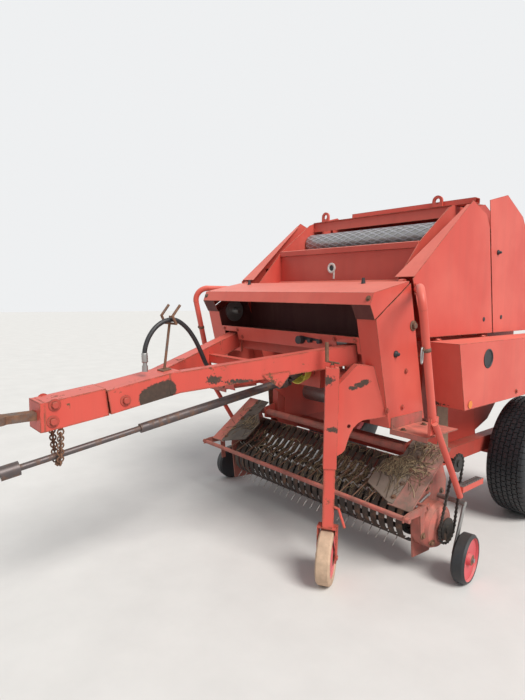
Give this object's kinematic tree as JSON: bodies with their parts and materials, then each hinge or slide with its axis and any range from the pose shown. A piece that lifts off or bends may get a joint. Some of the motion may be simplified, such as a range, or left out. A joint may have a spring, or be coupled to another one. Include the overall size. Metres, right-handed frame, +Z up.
{
  "type": "round baler",
  "caption": "Towed round baler with a tined pickup, roller chamber with lifting tailgate, net box, drawbar with jack, drive shaft and two wheels.",
  "frame": {"origin": "on the ground under the middle of the machine's box", "axes": "+Z up, -Y towards the drawbar, +X the machine's left side"},
  "size_m": [2.2096, 3.816, 2.244],
  "materials": {
    "red_paint": "faded red paint, dusty, worn at the edges",
    "worn_red_paint": "red paint worn by crop, dirty",
    "dark_steel": "dark oily steel with dust",
    "bare_steel": "bare steel, dull",
    "rusty_steel": "brown rust",
    "tyre": "black rubber, dusty",
    "wheel_tan": "dusty solid rubber",
    "yellow_plastic": "dirty yellow plastic",
    "black_hose": "black rubber hose",
    "brown_rubber": "brown rubber sheet",
    "lamp_red": "red lamp glass"
  },
  "bodies": {
    "frame": {"drawbar": "red_paint", "drawbar_head": "red_paint", "tow_eye": "rusty_steel", "net_box": "red_paint", "control_panel": "red_paint", "net_brake": "bare_steel", "chamber_walls": "red_paint", "chamber_front": "red_paint", "top_beam": "red_paint", "front_rollers": "bare_steel", "upper_cover_left": "red_paint", "upper_cover_right": "red_paint", "guard_bow_left": "red_paint", "guard_bow_right": "red_paint", "steps": "red_paint", "chassis": "red_paint", "axle": "red_paint", "jack_mount": "red_paint", "gearbox": "red_paint", "input_guard": "yellow_plastic", "pto_outer": "rusty_steel", "pto_chain": "dark_steel", "hose_rest": "rusty_steel", "hydraulic_hose": "black_hose", "hose_coupler": "bare_steel", "chain_cover": "brown_rubber"},
    "top_roller": {"top_roller": "bare_steel"},
    "net_lid": {"net_lid": "red_paint"},
    "side_box_left": {"side_box_left": "red_paint"},
    "side_box_right": {"side_box_right": "red_paint"},
    "tailgate": {"tailgate": "red_paint", "tailgate_rollers": "bare_steel", "tail_covers": "red_paint", "tail_lamps": "lamp_red"},
    "barrel_left": {"cylinder_barrel_left": "red_paint"},
    "barrel_right": {"cylinder_barrel_right": "red_paint"},
    "rod_left": {"cylinder_rod_left": "bare_steel"},
    "rod_right": {"cylinder_rod_right": "bare_steel"},
    "wheel_left": {"tyre_left": "tyre", "rim_left": "red_paint"},
    "wheel_right": {"tyre_right": "tyre", "rim_right": "red_paint"},
    "pickup": {"pickup_frame": "worn_red_paint", "pickup_bands": "dark_steel", "windguard": "worn_red_paint", "deflectors": "worn_red_paint", "pickup_drive": "dark_steel", "gauge_arms": "bare_steel"},
    "reel": {"pickup_reel": "dark_steel"},
    "gauge_left": {"gauge_wheel_left": "tyre"},
    "gauge_right": {"gauge_wheel_right": "tyre"},
    "jack": {"jack_leg": "rusty_steel"},
    "jack_wheel": {"jack_wheel": "wheel_tan"},
    "shaft_end": {"pto_inner": "bare_steel"}
  },
  "joints": [
    {"name": "wheel_left_spin", "type": "hinge", "parent": "frame", "child": "wheel_left", "pos_m": [0.866, 1.485, 0.423], "axis": [1, 0, 0], "continuous": true},
    {"name": "wheel_right_spin", "type": "hinge", "parent": "frame", "child": "wheel_right", "pos_m": [-0.866, 1.485, 0.423], "axis": [1, 0, 0], "continuous": true},
    {"name": "tailgate_hinge", "type": "hinge", "parent": "frame", "child": "tailgate", "pos_m": [0, 0.868, 2.12], "axis": [1, 0, 0], "range_deg": [0, 62]},
    {"name": "barrel_left_hinge", "type": "hinge", "parent": "frame", "child": "barrel_left", "pos_m": [0.69, 0.99, 1.15], "axis": [1, 0, 0], "range_deg": [-5, 5]},
    {"name": "barrel_right_hinge", "type": "hinge", "parent": "frame", "child": "barrel_right", "pos_m": [-0.69, 0.99, 1.15], "axis": [1, 0, 0], "range_deg": [-5, 5]},
    {"name": "rod_left_slide", "type": "slide", "parent": "barrel_left", "child": "rod_left", "axis": [0, 0.1206, 0.9927], "range_m": [0, 0.27]},
    {"name": "rod_right_slide", "type": "slide", "parent": "barrel_right", "child": "rod_right", "axis": [0, 0.1206, 0.9927], "range_m": [0, 0.27]},
    {"name": "net_lid_hinge", "type": "hinge", "parent": "frame", "child": "net_lid", "pos_m": [0, 0.055, 1.645], "axis": [-1, 0, 0], "range_deg": [0, 95]},
    {"name": "side_box_left_hinge", "type": "hinge", "parent": "frame", "child": "side_box_left", "pos_m": [0.754, 0.9, 1.308], "axis": [0, -1, 0], "range_deg": [0, 85]},
    {"name": "side_box_right_hinge", "type": "hinge", "parent": "frame", "child": "side_box_right", "pos_m": [-0.754, 0.9, 1.308], "axis": [0, 1, 0], "range_deg": [0, 85]},
    {"name": "top_roller_spin", "type": "hinge", "parent": "frame", "child": "top_roller", "pos_m": [0, 0.65992, 1.96876], "axis": [1, 0, 0], "continuous": true},
    {"name": "pickup_lift", "type": "hinge", "parent": "frame", "child": "pickup", "pos_m": [0, 0.255, 0.64], "axis": [-1, 0, 0], "range_deg": [0, 22]},
    {"name": "reel_spin", "type": "hinge", "parent": "pickup", "child": "reel", "pos_m": [0, 0.17, 0.285], "axis": [1, 0, 0], "continuous": true},
    {"name": "gauge_left_spin", "type": "hinge", "parent": "pickup", "child": "gauge_left", "pos_m": [1.049, 0.223, 0.135], "axis": [0.9877, 0.1564, 0], "continuous": true},
    {"name": "gauge_right_spin", "type": "hinge", "parent": "pickup", "child": "gauge_right", "pos_m": [-1.049, 0.223, 0.135], "axis": [0.9877, -0.1564, 0], "continuous": true},
    {"name": "jack_slide", "type": "slide", "parent": "frame", "child": "jack", "axis": [0, 0, 1], "range_m": [-0.15, 0]},
    {"name": "jack_wheel_spin", "type": "hinge", "parent": "jack", "child": "jack_wheel", "pos_m": [0.571, -0.375, 0.15], "axis": [0.848, 0.5299, 0], "continuous": true},
    {"name": "shaft_slide", "type": "slide", "parent": "frame", "child": "shaft_end", "axis": [-0.0787, -0.9823, -0.1698], "range_m": [0, 0.25]}
  ],
  "couplings": [
    {"joint": "barrel_left_hinge", "follows": "tailgate_hinge", "ratio": 0.026},
    {"joint": "barrel_right_hinge", "follows": "tailgate_hinge", "ratio": 0.026},
    {"joint": "rod_left_slide", "follows": "tailgate_hinge", "m_per_rad": 0.238},
    {"joint": "rod_right_slide", "follows": "tailgate_hinge", "m_per_rad": 0.238}
  ]
}
